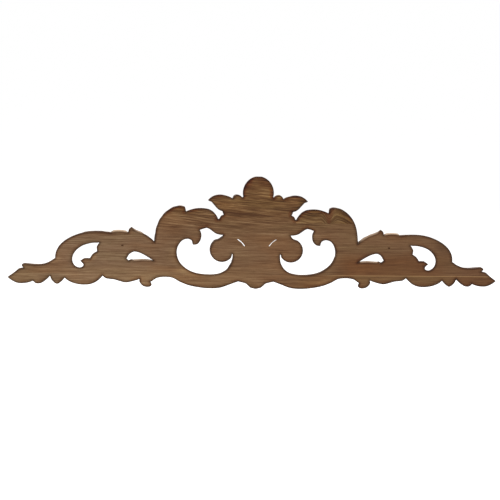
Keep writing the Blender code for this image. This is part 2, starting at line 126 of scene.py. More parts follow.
# Carved stems and leaves: section, height as a share of the half-width, cut, and a centre line
# from root to tip
STEMS = {
    "c scroll": ("scroll", 1.16, "plain", [
        (15, -43, 3.6), (23, -51.5, 6.6), (34, -57.4, 8.2), (47, -60.2, 8.6), (62, -60.3, 8.2),
        (77.5, -57.8, 8.2), (91.2, -51.4, 8.3), (101.2, -42, 8.6), (106.2, -28, 8.8), (105.4, -14, 9.6),
        (101, -1, 9.5), (91.5, 5.0, 8.6),
        (81, 1.8, 7.4), (74.6, -5.5, 6.4), (75, -12.5, 5.2)]),
    "shoulder leaf": ("leaf", 1.26, "veined", [
        (101, -56, 1.6), (110, -47, 4.6), (116.5, -36, 7.0), (119, -22, 7.6), (118, -7, 8.2),
        (113.5, 6, 9.2), (105, 17.5, 9.8), (94, 24.5, 8.4), (85, 26.5, 4.5)]),
    "roll leaf": ("leaf", 1.06, "veined", [
        (5, -21, 2.2), (11, -12, 4.6), (19, -4.5, 6.2), (31, 2.5, 7.2), (44, 6.2, 8.6), (56, 11.6, 10.6),
        (68, 15.6, 12.4), (80, 16.2, 11.0), (91, 12.5, 6.0)]),
    "roll lip": ("ridge", 1.5, "reeded", [
        (89, 20, 2.0), (78, 24.2, 4.2), (67, 25, 4.6), (57, 21, 4.6), (50, 15, 3.4)]),
    "arm": ("scroll", 1.5, "plain", [
        (3, -37, 2.0), (12, -26, 4.6), (22.0, -16.2, 5.8), (31, -11.4, 6.2),
        *widened(arc(INNER_VOLUTE, (10.4, 10.4, 9.4, 9.4), 96, -222, 10), 6.2, 3.2)]),
    "nub leaf": ("leaf", 1.42, "veined", [
        (2, -15, 2.0), (9, -3.5, 4.9), (20, 6.8, 6.1), (32, 14, 6.4), (40, 17, 5.4), (46.5, 17.2, 2.0)]),
    "crown leaf": ("leaf", 1.22, "veined", [
        (2, -6, 2.0), (9, 9, 5.4), (20, 21.5, 7.6), (32, 31, 9.2), (43, 36.4, 9.4), (52.5, 39.4, 6.0),
        (59, 39.4, 2.2)]),
    "bud stalk": ("ridge", 1.5, "reeded", [
        (1.5, 6, 2.0), (8, 20, 4.4), (16, 31, 5.6), (25, 39.5, 7.2), (28, 43.5, 5.8)]),
    "centre stalk": ("ridge", 1.75, "reeded", [
        (0, -24, 4.2), (0, -8, 5.4), (0, 10, 5.8), (0, 24, 6.0), (0, 36, 6.0)]),
    "collar": ("ridge", 3.0, "plain", [
        (-7, 31.2, 4.2), (0, 30.4, 4.4), (7, 31.2, 4.2), (12.4, 34.4, 3.2)]),
    "dome rim": ("ridge", 2.4, "beaded", widened(arc((0, 48.1), (14.9, 16.6), 112, -70, 13), 4.0, 4.0)),
    "pendant leaf": ("ridge", 1.5, "reeded", [
        (0, -28, 4.0), (0, -40, 7.0), (0, -52, 7.8), (0, -62, 5.8), (0, -69, 2.4)]),
    "pendant side leaf": ("leaf", 1.3, "veined", [
        (3, -33, 2.4), (9, -42, 6.0), (13.5, -52, 7.4), (14.2, -60, 5.6), (13, -66, 2.0)]),
    "pendant upper leaf": ("leaf", 1.22, "veined", [
        (5, -32, 2.4), (14, -34.2, 6.0), (22.5, -36.5, 7.8), (28.4, -44, 6.8), (30, -54, 3.6)]),
    "side leaf": ("leaf", 1.2, "veined", [
        (107, -34, 1.6), (117, -24.5, 4.4), (127, -16.4, 8.0), (138, -10.4, 8.2), (147, -4.4, 6.8),
        (152, 0.5, 4.4), (154.2, 4.6, 1.8)]),
    "side leaf, lower lobe": ("leaf", 1.2, "veined", [
        (112, -36, 2.0), (122, -30, 5.2), (133, -24, 6.6), (143, -20.2, 6.2), (150, -19.2, 3.2)]),
    "outer scroll": ("scroll", 1.18, "plain", [
        *widened(arc(OUTER_VOLUTE, (9.6, 9.6, 12.4, 11.2), 432, 105, 10), 3.4, 6.6),
        (176, -7.0, 6.8), (188, -7.5, 6.8), (200, -7.6, 6.8), (212.4, -10.4, 7.2), (224.4, -17.2, 8.2),
        (232.4, -27.8, 9.3), (233.4, -39, 9.9), (226.6, -49.9, 9.4), (214.5, -55.2, 9.8), (203, -54.6, 9.2),
        (190, -48.8, 7.8), (176, -44.2, 7.6), (160, -42.4, 7.4), (144, -42.6, 7.6), (128, -43.6, 7.0),
        (114, -44, 3.0)]),
    "eye leaf, upper lobe": ("lobe", 1.75, "reeded", [
        (165, -35, 2.0), (176, -29.5, 5.2), (187, -22.5, 5.8), (194, -17, 2.6)]),
    "eye leaf, middle lobe": ("lobe", 1.7, "reeded", [
        (166, -38, 2.0), (179, -34.5, 5.4), (191, -30.4, 5.8), (202, -30, 2.4)]),
    "eye leaf, lower lobe": ("lobe", 1.65, "reeded", [
        (172, -43, 2.0), (187, -40.5, 5.8), (200, -38.4, 6.2), (213, -37.6, 2.0)]),
    "tail": ("leaf", 1.12, "veined", [
        (229, -38, 4.0), (242, -45.5, 9.0), (256, -50.2, 10.2), (269, -52.4, 10.4), (281, -54.2, 9.4),
        (291, -56.6, 6.0), (300, -57.2, 1.6)]),
    "tail barb": ("lobe", 2.15, "reeded", [
        (250, -46.5, 2.4), (262, -44.4, 4.6), (274, -42.4, 4.4), (284, -41.6, 1.8)]),
    "tail lobe": ("lobe", 1.9, "reeded", [
        (243, -49, 2.0), (252, -54.6, 5.0), (260.5, -60, 4.8), (268, -63, 2.4)]),
    "husk": ("leaf", 1.65, "veined", [
        (234, -43, 2.4), (238.4, -52, 5.4), (241.2, -60, 5.0), (241.6, -65, 1.8)]),
    "stem leaf": ("leaf", 1.4, "veined", [
        (196, -52, 1.6), (184, -52.8, 4.0), (171, -54.4, 5.4), (158, -56.4, 6.2), (146, -55, 5.4),
        (134, -51, 2.4)]),
    "curl": ("ridge", 1.6, "plain", [
        (97, -52, 1.6), (109, -49.6, 4.4), (120, -50.6, 5.0), (129.5, -54.2, 5.2), (135.4, -59.6, 5.0),
        (133.4, -64.2, 4.0), (129.4, -63.6, 3.0)]),
}

# Rounded knobs: centre, radii, height, and how they are cut
KNOBS = {
    "dome": ((0, 48.1), (12.4, 15.2), 15.0, "plain"),
    "knot": ((0, -29.5), (7.4, 8.6), 15.5, "petals"),
    "inner volute eye": (INNER_VOLUTE, (6.2, 6.2), 14.5, "ringed"),
    "outer volute eye": (OUTER_VOLUTE, (6.6, 6.6), 15.5, "ringed"),
}


def smooth(points, step, closed=False):
    """A smooth curve through the points, sampled about every step."""
    knots = np.array(points, dtype=float)
    if len(knots) < 3:
        return knots
    if closed:
        knots = np.vstack([knots[-1], knots, knots[:2]])
    else:
        knots = np.vstack([2 * knots[0] - knots[1], knots, 2 * knots[-1] - knots[-2]])
    chords = np.diff(knots, axis=0)
    spans = np.sqrt(np.linalg.norm(chords[:, :2], axis=1))
    slopes = chords / spans[:, None]
    curve = []
    for i in range(1, len(knots) - 2):
        before, span, after = spans[i - 1:i + 2]
        leave = (slopes[i] * before + slopes[i - 1] * span) / (before + span)
        arrive = (slopes[i + 1] * span + slopes[i] * after) / (span + after)
        count = max(1, round(span * span / step))
        t = (np.arange(count) / count)[:, None]
        curve.append(
            (2 * t**3 - 3 * t**2 + 1) * knots[i]
            + (t**3 - 2 * t**2 + t) * span * leave
            + (3 * t**2 - 2 * t**3) * knots[i + 1]
            + (t**3 - t**2) * span * arrive
        )
    if not closed:
        curve.append(knots[-2:-1])
    return np.vstack(curve)


# Outline, read from the solid's back face

# How far an outline turns at a corner, in degrees
CORNER = 27.0


def back_loops(mesh):
    """The closed outlines of the solid's back face, in millimetres, with the wood on their right."""
    places = np.array([v.co for v in mesh.vertices])
    _, welded = np.unique(np.round(places / MM, 3), axis=0, return_inverse=True)
    welded = welded.ravel()
    drawn = dict(zip(welded.tolist(), (places[:, [0, 2]] / MM).tolist()))
    edges = set()
    for face in mesh.polygons:
        if face.normal.y > 0.999 and abs(face.center.y) < 0.01 * MM:
            corners = [int(welded[v]) for v in face.vertices]
            edges.update(zip(corners, corners[1:] + corners[:1]))
    following = {a: b for a, b in edges if (b, a) not in edges}
    loops = []
    for start in sorted(following):
        if start in following:
            loop = []
            here = start
            while here in following:
                loop.append(drawn[here])
                here = following.pop(here)
            loops.append(np.array(loop))
    return loops


def area(loop):
    """The area inside a hole, and minus the area inside the outer outline."""
    x, z = loop.T
    return 0.5 * np.sum(x * np.roll(z, -1) - np.roll(x, -1) * z)


def turns(loop):
    """How far the loop turns at each point, in degrees, above 0 where the wood has a notch."""
    ahead = np.roll(loop, -1, axis=0) - loop
    behind = np.roll(ahead, 1, axis=0)
    return np.degrees(np.arctan2(
        behind[:, 0] * ahead[:, 1] - behind[:, 1] * ahead[:, 0], np.sum(ahead * behind, axis=1)))


def rounded(loop, step):
    """The loop with smooth curves between its corners, sampled about every step."""
    corners = np.flatnonzero(np.abs(turns(loop)) > CORNER)
    if len(corners) == 0:
        return smooth(loop, step, closed=True)
    strokes = []
    for first, last in zip(corners, np.append(corners[1:], corners[0] + len(loop))):
        stroke = loop[np.arange(first, last + 1) % len(loop)]
        if len(stroke) == 2:
            count = max(1, round(np.linalg.norm(stroke[1] - stroke[0]) / step))
            strokes.append(stroke[0] + (stroke[1] - stroke[0]) * (np.arange(count) / count)[:, None])
        else:
            strokes.append(smooth(stroke, step)[:-1])
    return np.vstack(strokes)


def outward(loop):
    """Unit vectors at the loop's points that point out of the wood."""
    along = np.roll(loop, -1, axis=0) - np.roll(loop, 1, axis=0)
    along /= np.linalg.norm(along, axis=1)[:, None]
    return np.stack([-along[:, 1], along[:, 0]], axis=1)


def within(points, loops):
    """Which points lie in the wood: those with an odd number of outlines to one side."""
    starts = np.vstack(loops)
    ends = np.vstack([np.roll(loop, -1, axis=0) for loop in loops])
    inside = np.zeros(len(points), dtype=bool)
    order = np.argsort(points[:, 1])
    for batch in np.array_split(order, max(1, len(points) // 500)):
        x, z = points[batch, 0, None], points[batch, 1, None]
        level = np.minimum(starts[:, 1], ends[:, 1]) <= z.max()
        level &= np.maximum(starts[:, 1], ends[:, 1]) >= z.min()
        a, b = starts[level], ends[level]
        crosses = (a[:, 1] > z) != (b[:, 1] > z)
        slope = (b[:, 0] - a[:, 0]) / np.where(a[:, 1] == b[:, 1], 1, b[:, 1] - a[:, 1])
        inside[batch] = np.sum(crosses & (a[:, 0] + (z - a[:, 1]) * slope > x), axis=1) % 2 == 1
    return inside


def nearest(points, loops):
    """For each point: the nearest point of the outlines, by its number, and how far away it is."""
    edge = np.vstack(loops)
    tree = kdtree.KDTree(len(edge))
    for i, (x, z) in enumerate(edge):
        tree.insert((x, z, 0), i)
    tree.balance()
    found = [tree.find((x, z, 0)) for x, z in points]
    return np.array([f[1] for f in found]), np.array([f[2] for f in found])


def distances(points, loops):
    """How far each point is from the outlines."""
    return nearest(points, loops)[1]


def board_box():
    """The lowest and the highest (x, z) of the solid, in millimetres."""
    return [np.array([corner.x, corner.z]) / MM for corner in cad_box]


def grid(step):
    """Points of a triangular grid over the whole board, with none on the edges of its box."""
    low, high = board_box()
    low = low + step / 4
    rows = []
    for k, z in enumerate(np.arange(low[1], high[1], step * math.sqrt(0.75))):
        x = np.arange(low[0] + (k % 2) * step / 2, high[0], step)
        rows.append(np.stack([x, np.full_like(x, z)], axis=1))
    return np.vstack(rows)


def triangulated(loops, points):
    """The corners and the triangles, three indices each, that fill the outlines and use the points."""
    corners = np.vstack([*loops, points])
    edges = []
    first = 0
    for loop in loops:
        ring = np.arange(first, first + len(loop))
        edges += zip(ring.tolist(), np.roll(ring, -1).tolist())
        first += len(loop)
    made = geometry.delaunay_2d_cdt([Vector(p) for p in corners], edges, [], 0, 1e-5, False)
    if len(made[0]) != len(corners):
        raise ValueError("the outline crosses or touches itself")
    faces = np.array(made[2])
    unsure = np.flatnonzero(np.all(faces < first, axis=1))
    keep = np.ones(len(faces), dtype=bool)
    keep[unsure] = within(corners[faces[unsure]].mean(axis=1), loops)
    return corners, faces[keep]


# The carved front

# How the stems are cut, in millimetres along them or in half-widths across: the stretch over which
# the cuts fade out at both ends, the spacing and slant of the veins, how many reeds lie side by
# side in a half-width, and the spacing and width of the beads
END_FADE = 6.0
VEIN_SPACING, VEIN_SLANT = 8.5, 1.15
REEDS = 2.5
BEAD_SPACING, BEAD_WIDTH = 4.6, 0.8

# How deep the cuts go, as shares of a stem's full height, and how far the veins scallop its edge
VEIN_DEPTH, FINE_VEIN_DEPTH, SCALLOP = 0.17, 0.035, 0.1
REED_DEPTH = 0.09
BEAD_DEPTH = 0.42
TOOL_MARK_DEPTH = 0.011

# Sizes in millimetres: a tool mark along and across a stem, and the slope down a stem's side
TOOL_MARK = (7.0, 1.3)
STEM_SIDE = 0.7

# The petals and rings cut into the knobs, as shares of a knob's height
PETALS, PETAL_DEPTH = 8, 0.09
PETAL_RING_DEPTH, EYE_RING_DEPTH, EYE_DIMPLE_DEPTH = 0.05, 0.07, 0.06

# Unevenness of the ground and of the whole front: its height and the size of its bumps, both in
# millimetres
GROUND_MARKS = 0.14, (1.5, 1.5)
WEAR = 0.07, (6.0, 4.0)


def noise(x, y, seed):
    """Smooth random heights between -1 and 1, about one bump to a unit."""
    table = np.random.default_rng(seed).uniform(-1, 1, (64, 64))
    i, j = np.floor(x).astype(int), np.floor(y).astype(int)
    u, v = x - i, y - j
    u, v = u * u * (3 - 2 * u), v * v * (3 - 2 * v)
    near = table[i % 64, j % 64] * (1 - u) + table[(i + 1) % 64, j % 64] * u
    far = table[i % 64, (j + 1) % 64] * (1 - u) + table[(i + 1) % 64, (j + 1) % 64] * u
    return near * (1 - v) + far * v


def pillow(phase, fullness):
    """Rounded swellings with a sharp cut at each whole number: 0 in the cut, 1 on top."""
    return 1 - np.abs(2 * (phase % 1) - 1) ** fullness


def along_line(points, line):
    """For each point: its place along the line, how far it is to one side, and the half-width there."""
    starts, ends = line[:-1], line[1:]
    chords = ends[:, :2] - starts[:, :2]
    lengths = np.linalg.norm(chords, axis=1)
    travelled = np.concatenate([[0], np.cumsum(lengths)[:-1]])
    best = np.full(len(points), np.inf)
    place, side, width = np.zeros((3, len(points)))
    for i, (chord, length) in enumerate(zip(chords, lengths)):
        off = points - starts[i, :2]
        share = np.clip(off @ chord / length**2, 0, 1)
        here = starts[i, 2] + share * (ends[i, 2] - starts[i, 2])
        gap = off - share[:, None] * chord
        away = np.linalg.norm(gap, axis=1) / here
        closer = away < best
        best[closer] = away[closer]
        left = chord[0] * off[closer, 1] - chord[1] * off[closer, 0]
        side[closer] = away[closer] * np.sign(left)
        place[closer] = travelled[i] + share[closer] * length
        width[closer] = here[closer]
    return place, side, width


def cut_away(style, place, across, length):
    """The share of the height that a stem's veins, reeds or beads take off, and its scalloped edge."""
    out = np.abs(across)
    ends = np.clip(np.minimum(place, length - place) / END_FADE, 0, 1)
    if style == "veined":
        swell = pillow(place / VEIN_SPACING - VEIN_SLANT * out, 2.6)
        reach = np.clip((out - 0.12) / 0.3, 0, 1)
        fine = 1 - np.clip(1 - np.abs(out - 0.52) / 0.07, 0, 1)
        taken = ends * reach * (VEIN_DEPTH * (1 - swell) + FINE_VEIN_DEPTH * (1 - fine))
        return taken, 1 + SCALLOP * ends * (1 - swell)
    if style == "reeded":
        swell = pillow(across * REEDS + 0.5, 2.2)
        return ends * REED_DEPTH * (1 - swell), np.ones_like(out)
    if style == "beaded":
        along = 2 * ((place / BEAD_SPACING) % 1) - 1
        swell = np.sqrt(np.clip(1 - along**2 - (across / BEAD_WIDTH) ** 2 * 0.8, 0, 1))
        return BEAD_DEPTH * (1 - swell), np.ones_like(out)
    return np.zeros_like(out), np.ones_like(out)


def stem_heights(points, section, rise, style, line, seed):
    """How far a stem stands in front of the back face at each point, or -1 beside it."""
    line = smooth(line, LINE_STEP)
    profile = smooth(SECTIONS[section], 0.02)
    low = line[:, :2].min(axis=0) - line[:, 2].max() - 2
    high = line[:, :2].max(axis=0) + line[:, 2].max() + 2
    near = np.flatnonzero(np.all((points > low) & (points < high), axis=1))
    heights = np.full(len(points), -1.0)
    place, across, width = along_line(points[near], line)
    length = np.sum(np.linalg.norm(np.diff(line[:, :2], axis=0), axis=1))
    taken, pulled = cut_away(style, place, across, length)
    across = across * pulled
    shape = np.interp(across, profile[:, 0], profile[:, 1])
    beyond = np.clip((np.abs(across) - 1) * width / STEM_SIDE, 0, 1)
    marks = TOOL_MARK_DEPTH * noise(place / TOOL_MARK[0], across * width / TOOL_MARK[1], seed)
    found = (shape - taken + marks) * (1 - beyond) * width * rise
    heights[near] = np.where(beyond < 1, found, -1)
    return heights


def knob_heights(points, centre, radii, height, style):
    """How far a rounded knob stands in front of the back face at each point, or -1 beside it."""
    off = (points - centre) / radii
    reach = np.linalg.norm(off, axis=1)
    shape = np.sqrt(np.clip(1 - reach**2, 0, 1))
    if style == "petals":
        turned = np.arctan2(off[:, 1], off[:, 0]) / math.tau * PETALS
        shape -= PETAL_DEPTH * (1 - pillow(turned, 2.4)) * np.clip(reach / 0.5, 0, 1)
        shape -= PETAL_RING_DEPTH * np.exp(-((reach - 0.3) / 0.08) ** 2)
    if style == "ringed":
        shape -= EYE_RING_DEPTH * np.exp(-((reach - 0.62) / 0.09) ** 2)
        shape -= EYE_DIMPLE_DEPTH * np.exp(-(reach / 0.14) ** 2)
    return np.where(reach < 1, shape * height, -1)


def unevenness(points, height, bump, seed):
    return height * noise(points[:, 0] / bump[0], points[:, 1] / bump[1], seed)


def front_heights(points):
    """How far the carved front stands in front of the back face, in millimetres."""
    right = np.stack([np.abs(points[:, 0]), points[:, 1]], axis=1)
    found = [GROUND + unevenness(points, *GROUND_MARKS, seed=3)]
    for seed, (section, rise, style, line) in enumerate(STEMS.values(), 20):
        found.append(stem_heights(right, section, rise, style, line, seed))
    for knob in KNOBS.values():
        found.append(knob_heights(right, *knob))
    carved = np.max(found, axis=0)
    return np.minimum(carved + unevenness(points, *WEAR, seed=5), HIGHEST)


def settled(heights, faces, times):
    """The heights with each one drawn towards the mean of its neighbours."""
    a = np.concatenate([faces[:, 0], faces[:, 1], faces[:, 2]])
    b = np.concatenate([faces[:, 1], faces[:, 2], faces[:, 0]])
    count = np.bincount(a, minlength=len(heights))
    for _ in range(times):
        total = np.bincount(a, weights=heights[b], minlength=len(heights))
        heights = 0.6 * heights + 0.4 * total / np.maximum(count, 1)
    return heights


# The whole mesh

# Rows of points round the back, in millimetres from the outline; how wide its dark edge is, and
# how much wider it is painted where it faces down or -X, as shade on the side away from the light
BACK_ROWS = (0.5, 1.4, 2.7)
DARK_EDGE = 3.2
DARKER_SIDE = 0.5

# Rows of points on the walls, as shares of the way to the front, and how dark the walls are
WALL_ROWS = (0.12, 0.5, 0.88)
DARK_WALL = 0.6

# In millimetres: the rounding of the back's and the front's edges, how far the walls are hollowed,
# and how much fuller than the solid's the outline is
CHAMFER = 0.35
FRONT_CHAMFER = 0.4
UNDERCUT = 0.25
OUTLINE_FULLNESS = 0.32

# How far an outline turns in a sharp notch, in degrees, and how far from it the fullness fades out
NOTCH = 40.0
NOTCH_REACH = 3.0

# Places where the edge was cut aslant with a file or saw: the x and the z that each runs between, how
# wide the slant is behind, how far it leans out in front, and how pale it is painted, as fresh wood and
# partly as a highlight where it faces up into the top light
EDGE_MARKS = [
    ((156.9, 177.4), (-4.0, 2.0), 0.45, 0.75, 1.0),
    ((-177.4, -156.9), (-4.0, 2.0), 0.5, 0.6, 1.0),
    ((138.0, 152.5), (-12.0, 6.0), 0.2, 0.85, 0.25),
    ((-151.5, -127.0), (-12.0, 6.0), 0.2, 0.5, 0.45),
    ((127.0, 151.5), (-36.5, -33.5), 0.35, 0.5, 0.85),
    ((-151.5, -127.0), (-36.5, -33.5), 0.35, 0.5, 0.85),
    ((184.0, 212.0), (-8.0, 3.0), 0.0, 0.55, 0.0),
    ((-100.0, -42.0), (-54.0, -30.0), 0.0, 0.4, 0.0),
]


def edge_marks(loop):
    """How wide each point of an outline is cut aslant, how far it leans out in front, and how pale it is
    painted, as fresh wood and partly as a highlight where it faces up.
    """
    found = np.zeros((3, len(loop)))
    across, up = loop.T
    for (start, end), (low, high), *marks in EDGE_MARKS:
        swell = np.clip(np.minimum(across - start, end - across) / 3.0, 0, 1) * (up > low) * (up < high)
        found = np.maximum(found, np.outer(marks, swell))
    return found


def is_pit(loop):
    return 0 < area(loop) < PIT_AREA


def is_slit(loop):
    return 0 < area(loop) < SLIT_AREA


def as_sawn(loop):
    """An outline as it is behind: a little fuller than the solid's, but in sharp notches."""
    fullness = np.full(len(loop), SLIT_TRIM if is_slit(loop) else OUTLINE_FULLNESS)
    notches = loop[turns(loop) > NOTCH]
    if len(notches) and not is_slit(loop):
        fullness *= np.clip(distances(loop, [notches]) / NOTCH_REACH, 0, 1)
    return loop + outward(loop) * fullness[:, None]


def in_front_of(loop):
    """An outline as it is in front: wider round a slit, and leaning out in places."""
    lean = -SLIT_FLARE if is_slit(loop) else edge_marks(loop)[1][:, None]
    return loop + outward(loop) * lean


def wall_tone(loop):
    """How dark the saw left the wood beside an outline: not at all in a knife-cut slit."""
    return 0.0 if is_slit(loop) else DARK_WALL


def thinned(corners, faces, values, fixed, target):
    """The triangles with fewer where the surface is plain; the first few corners stay as they are."""
    mesh = bpy.data.meshes.new("dense")
    mesh.from_pydata(corners.tolist(), [], faces.tolist())
    mesh.attributes.new("cavity", "FLOAT", "POINT").data.foreach_set("value", values.astype(np.float32))
    dense = bpy.data.objects.new("dense", mesh)
    bpy.context.scene.collection.objects.link(dense)
    group = dense.vertex_groups.new(name="inner")
    group.add(list(range(fixed, len(corners))), 1.0, "REPLACE")
    decimate = dense.modifiers.new("Thin", "DECIMATE")
    decimate.ratio = min(1.0, target / len(faces))
    decimate.vertex_group = group.name
    bpy.context.view_layer.update()
    thin = bpy.data.meshes.new_from_object(dense.evaluated_get(bpy.context.evaluated_depsgraph_get()))
    corners = np.array([v.co for v in thin.vertices])
    faces = np.array([tuple(f.vertices) for f in thin.polygons])
    values = np.zeros(len(corners), dtype=np.float32)
    thin.attributes["cavity"].data.foreach_get("value", values)
    bpy.data.objects.remove(dense)
    bpy.data.meshes.remove(mesh)
    bpy.data.meshes.remove(thin)
    return corners, faces, values


def ring_faces(lower, upper):
    """Triangles between two rings of as many vertices each."""
    nexts = np.roll(lower, -1), np.roll(upper, -1)
    one = np.stack([lower, nexts[0], nexts[1]], axis=1)
    other = np.stack([lower, nexts[1], upper], axis=1)
    return np.vstack([one, other])


class Shell:
    """Collects the parts of the mesh, in millimetres, with values from 0 to 1 for the material.

    "edge" is 1 at the back's dark edge, part of which is painted shade; a further value is 1 on wood
    freshly cut with a file, painted pale also as a highlight where it faces up; and "cavity" is above 0 in
    the hollows of the carving and below it on the ridges, where the material paints shade and highlights.
    """

    def __init__(self):
        self.corners, self.faces = [], []
        self.values = {"edge": [], "bare": [], "cavity": []}
        self.count = 0

    def add(self, corners, **values):
        ids = np.arange(self.count, self.count + len(corners))
        self.corners.append(corners)
        for name, column in self.values.items():
            column.append(np.broadcast_to(values.get(name, 0.0), len(corners)))
        self.count += len(corners)
        return ids


def placed(flat, depths):
    """Points of the board's plane as corners, so far in front of the back face."""
    return np.stack([flat[:, 0], -np.broadcast_to(depths, len(flat)), flat[:, 1]], axis=1)


def build_shell():
    """The whole closed surface: carved front, sawn walls, flat back and blind pits."""
    low, high = board_box()
    outlines = [np.clip(rounded(loop, EDGE_STEP), low, high)
                for loop in back_loops(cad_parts[NODE].data)]
    pits = [loop for loop in outlines if is_pit(loop)]
    through = [np.clip(as_sawn(loop), low, high) for loop in outlines if not is_pit(loop)]
    shell = Shell()

    # Front
    in_front = [in_front_of(loop) for loop in through]
    inner = grid(FRONT_STEP)
    inner = inner[within(inner, in_front)]
    inner = inner[distances(inner, in_front) > 0.55 * FRONT_STEP]
    flat, faces = triangulated(in_front, inner)
    edge_count = sum(len(loop) for loop in through)
    heights = settled(front_heights(flat), faces, 2)
    heights[:edge_count] -= FRONT_CHAMFER
    # How far each point lies below its smoothed neighbours; the material paints shade in these hollows and
    # highlights on the ridges
    cavity = np.clip((settled(heights, faces, 40) - heights) / 1.2, -1, 1)
    edge_heights = heights[:edge_count]
    corners, faces, cavity = thinned(placed(flat, heights), faces, cavity, edge_count, FRONT_TRIANGLES)
    ids = shell.add(corners, cavity=cavity)
    shell.faces.append(ids[faces])

    # Back
    beside = []
    for loop in through:
        beside += [loop - outward(loop) * row for row in BACK_ROWS]
    beside += [loop - outward(loop) * BACK_ROWS[0] for loop in pits]
    beside = np.vstack(beside)
    plain = grid(BACK_STEP)
    plain = plain[within(plain, outlines)]
    plain = plain[distances(plain, outlines) > BACK_ROWS[-1] + 0.6 * EDGE_STEP]
    beside = beside[within(beside, outlines)]
    beside = beside[distances(beside, outlines) > 0.8 * BACK_ROWS[0]]
    behind = [*through, *pits]
    flat, faces = triangulated(behind, np.vstack([beside, plain]))
    closest, away = nearest(flat, through)
    width, _, bareness = np.hstack([edge_marks(loop) for loop in through])[:, closest]
    depth = np.maximum(CHAMFER, width)
    facing = np.vstack([outward(loop) for loop in through])[closest]
    # Where the edge faces down or -X, away from the light, its dark band is painted wider: painted shade
    darker = 1 + DARKER_SIDE * np.clip(-facing[:, 0] - 0.4 * facing[:, 1], 0, 1)
    depths = depth * np.clip(1 - away / np.maximum(width, BACK_ROWS[0]), 0, 1)
    # Paint the back pale where it was cut aslant: fresh wood, and partly a highlight where it faces up
    bare = np.where(away < 0.9 * width, bareness, 0.0)
    burnt = np.concatenate([np.full(len(loop), wall_tone(loop)) for loop in through])[closest]
    dark = np.clip(1 - (away - width) / (DARK_EDGE * darker), 0, 1) * (1 - bare) * (burnt > 0)
    # The pits' dark tone, partly painted shade, reaches just round their rims
    dark = np.maximum(dark, PIT_TONE * np.clip(1 - distances(flat, pits) / BACK_ROWS[0], 0, 1))
    ids = shell.add(placed(flat, depths), edge=dark, bare=bare)
    shell.faces.append(ids[faces[:, ::-1]])

    # Walls
    first = 0
    for loop, front in zip(through, in_front):
        span = slice(first, first + len(loop))
        out = outward(loop)
        place = np.arange(len(loop)) * EDGE_STEP
        below, above = depths[span], edge_heights[span]
        filed_and_highlit = edge_marks(loop)[2]
        tone = wall_tone(loop)
        rows = [shell.add(placed(loop, below), edge=dark[span], bare=bare[span])]
        for share in WALL_ROWS:
            uneven = 1 + 0.5 * noise(place / 5, place * 0 + share * 9, 7)
            wobble = UNDERCUT * math.sin(math.pi * share) * uneven
            line = loop + (front - loop) * share - out * wobble[:, None]
            depth = below + (above - below) * share
            # Slit walls are painted pale all over, sawn walls where they were cut aslant: fresh wood, and
            # partly a highlight where they face up
            bareness = filed_and_highlit if tone else 1.0
            rows.append(shell.add(placed(line, depth), edge=tone * (1 - filed_and_highlit), bare=bareness))
        rows.append(shell.add(placed(front, above)))
        shell.faces += [ring_faces(a, b) for a, b in zip(rows, rows[1:])]
        first += len(loop)

    # Pits, painted dark: partly the shade deep in each hole, partly a darker tone of the wood there
    for loop in pits:
        middle = loop.mean(axis=0)
        rows = [shell.add(placed(middle + (loop - middle) * size, depth), edge=PIT_TONE)
                for size, depth in ((1.0, 0.0), (0.8, 0.5 * PIT_DEPTH), (0.45, 0.9 * PIT_DEPTH))]
        shell.faces += [ring_faces(a, b) for a, b in zip(rows, rows[1:])]
        tip = shell.add(placed(middle[None, :], PIT_DEPTH), edge=PIT_TONE)
        last = rows[-1]
        shell.faces.append(np.stack([last, np.roll(last, -1), np.full(len(last), tip[0])], axis=1))
    return shell


def carved_object():
    shell = build_shell()
    corners = np.vstack(shell.corners) * MM
    mesh = bpy.data.meshes.new("wooden_applique")
    mesh.from_pydata(corners.tolist(), [], np.vstack(shell.faces).tolist())
    for name, values in shell.values.items():
        layer = mesh.attributes.new(name, "FLOAT", "POINT")
        layer.data.foreach_set("value", np.concatenate(values).astype(np.float32))
    bm = bmesh.new()
    bm.from_mesh(mesh)
    bmesh.ops.remove_doubles(bm, verts=bm.verts, dist=0.002 * MM)
    bmesh.ops.recalc_face_normals(bm, faces=bm.faces)
    bm.to_mesh(mesh)
    bm.free()
    mesh.shade_smooth()
    mesh.set_sharp_from_angle(angle=math.radians(50))
    carved = bpy.data.objects.new("wooden_applique", mesh)
    bpy.context.scene.collection.objects.link(carved)
    return carved


# Materials

def linear(red, green, blue):
    """A colour as it looks in the photograph, 0 to 255, as the linear colour that a shader takes."""
    values = np.array([red, green, blue]) / 255
    return (*np.where(values < 0.04045, values / 12.92, ((values + 0.055) / 1.055) ** 2.4).tolist(), 1.0)


